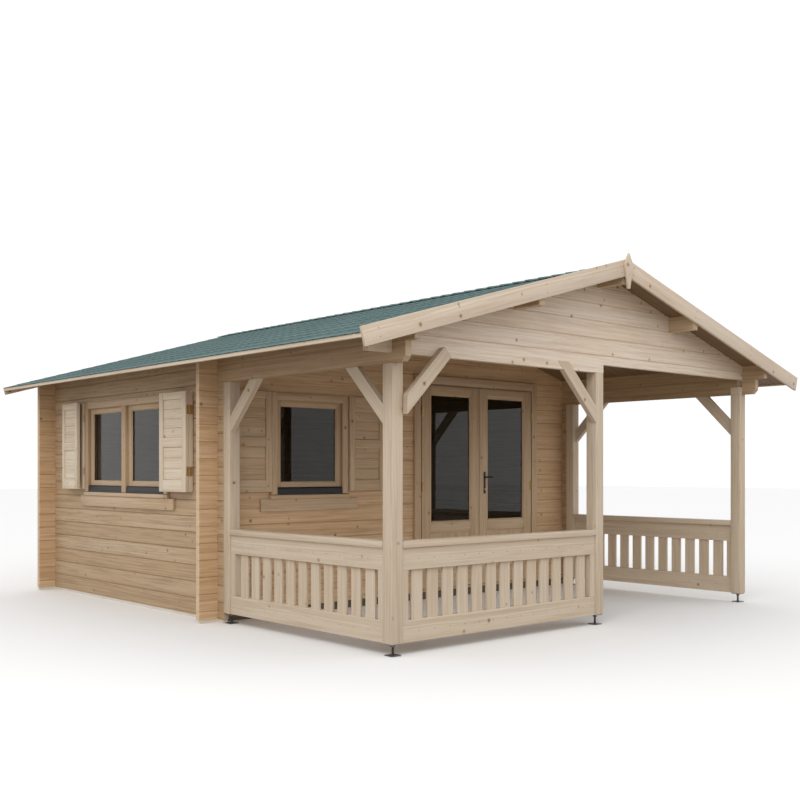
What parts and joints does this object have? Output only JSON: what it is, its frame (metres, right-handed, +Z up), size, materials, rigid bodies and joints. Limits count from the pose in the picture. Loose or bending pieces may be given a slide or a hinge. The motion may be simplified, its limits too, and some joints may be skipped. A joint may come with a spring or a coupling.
{
  "type": "log cabin",
  "caption": "Square-logged garden cabin with a closed room behind a railed open porch, all under one low gable roof with green bitumen shingles.",
  "frame": {"origin": "on the ground, at the middle of the roof's outline in plan", "axes": "+X to the right seen from the porch side, +Y from the porch to the back wall, +Z up"},
  "size_m": [5.29, 5.745, 2.883],
  "materials": {
    "log_wood": "planed untreated spruce, matte",
    "post_wood": "planed untreated spruce, matte",
    "rail_wood": "planed untreated spruce boards, matte",
    "roof_wood": "planed spruce boards, matte",
    "shingle": "mineral-surfaced bitumen, matte, green",
    "barge_wood": "planed untreated spruce, matte",
    "steel": "dark galvanised steel",
    "joinery_wood": "planed spruce joinery, matte",
    "glass": "clear, reflective",
    "handle_metal": "dark bronze lacquer",
    "strip_metal": "matte black",
    "shutter_wood": "planed spruce, matte",
    "floor_wood": "planed spruce boards, matte",
    "bearer_wood": "pressure-treated, dark"
  },
  "bodies": {
    "cabin": {"left_wall": "log_wood", "right_wall": "log_wood", "back_wall": "log_wood", "front_wall_left": "log_wood", "front_wall_right": "log_wood", "front_wall_gable": "log_wood", "porch_gable": "log_wood", "left_plate": "log_wood", "right_plate": "log_wood", "front_left_post": "post_wood", "front_middle_post": "post_wood", "front_right_post": "post_wood", "rear_left_post": "post_wood", "rear_right_post": "post_wood", "post_feet": "steel", "front_braces": "post_wood", "side_braces": "post_wood", "left_railing": "rail_wood", "front_railing": "rail_wood", "right_railing": "rail_wood", "ridge_purlin": "roof_wood", "middle_purlins": "roof_wood", "left_roof_boards": "roof_wood", "right_roof_boards": "roof_wood", "left_shingles": "shingle", "right_shingles": "shingle", "front_bargeboards": "barge_wood", "rear_fascia": "barge_wood", "eave_boards": "barge_wood", "finial": "barge_wood", "door_frame": "joinery_wood", "side_window_frame": "joinery_wood", "porch_window_frame": "joinery_wood", "window_sashes": "joinery_wood", "window_glass": "glass", "drip_strips": "strip_metal", "side_shutter_rear": "shutter_wood", "side_shutter_front": "shutter_wood", "floor_boards": "floor_wood", "bearers": "bearer_wood"},
    "left_leaf": {"left_door": "joinery_wood", "left_door_glass": "glass"},
    "right_leaf": {"right_door": "joinery_wood", "right_door_glass": "glass", "door_handle": "handle_metal"},
    "left_shutter": {"porch_shutter_left": "shutter_wood"},
    "right_shutter": {"porch_shutter_right": "shutter_wood"}
  },
  "joints": [
    {"name": "left_door_hinge", "type": "hinge", "parent": "cabin", "child": "left_leaf", "pos_m": [0.0445, -0.4975, 1.06], "axis": [0, 0, -1], "range_deg": [0, 115]},
    {"name": "right_door_hinge", "type": "hinge", "parent": "cabin", "child": "right_leaf", "pos_m": [1.5915, -0.4975, 1.06], "axis": [0, 0, 1], "range_deg": [0, 115]},
    {"name": "left_shutter_hinge", "type": "hinge", "parent": "cabin", "child": "left_shutter", "pos_m": [-1.6665, -0.5025, 1.4525], "axis": [0, 0, 1], "range_deg": [0, 180]},
    {"name": "right_shutter_hinge", "type": "hinge", "parent": "cabin", "child": "right_shutter", "pos_m": [-0.8395, -0.5025, 1.4525], "axis": [0, 0, -1], "range_deg": [0, 180]}
  ]
}
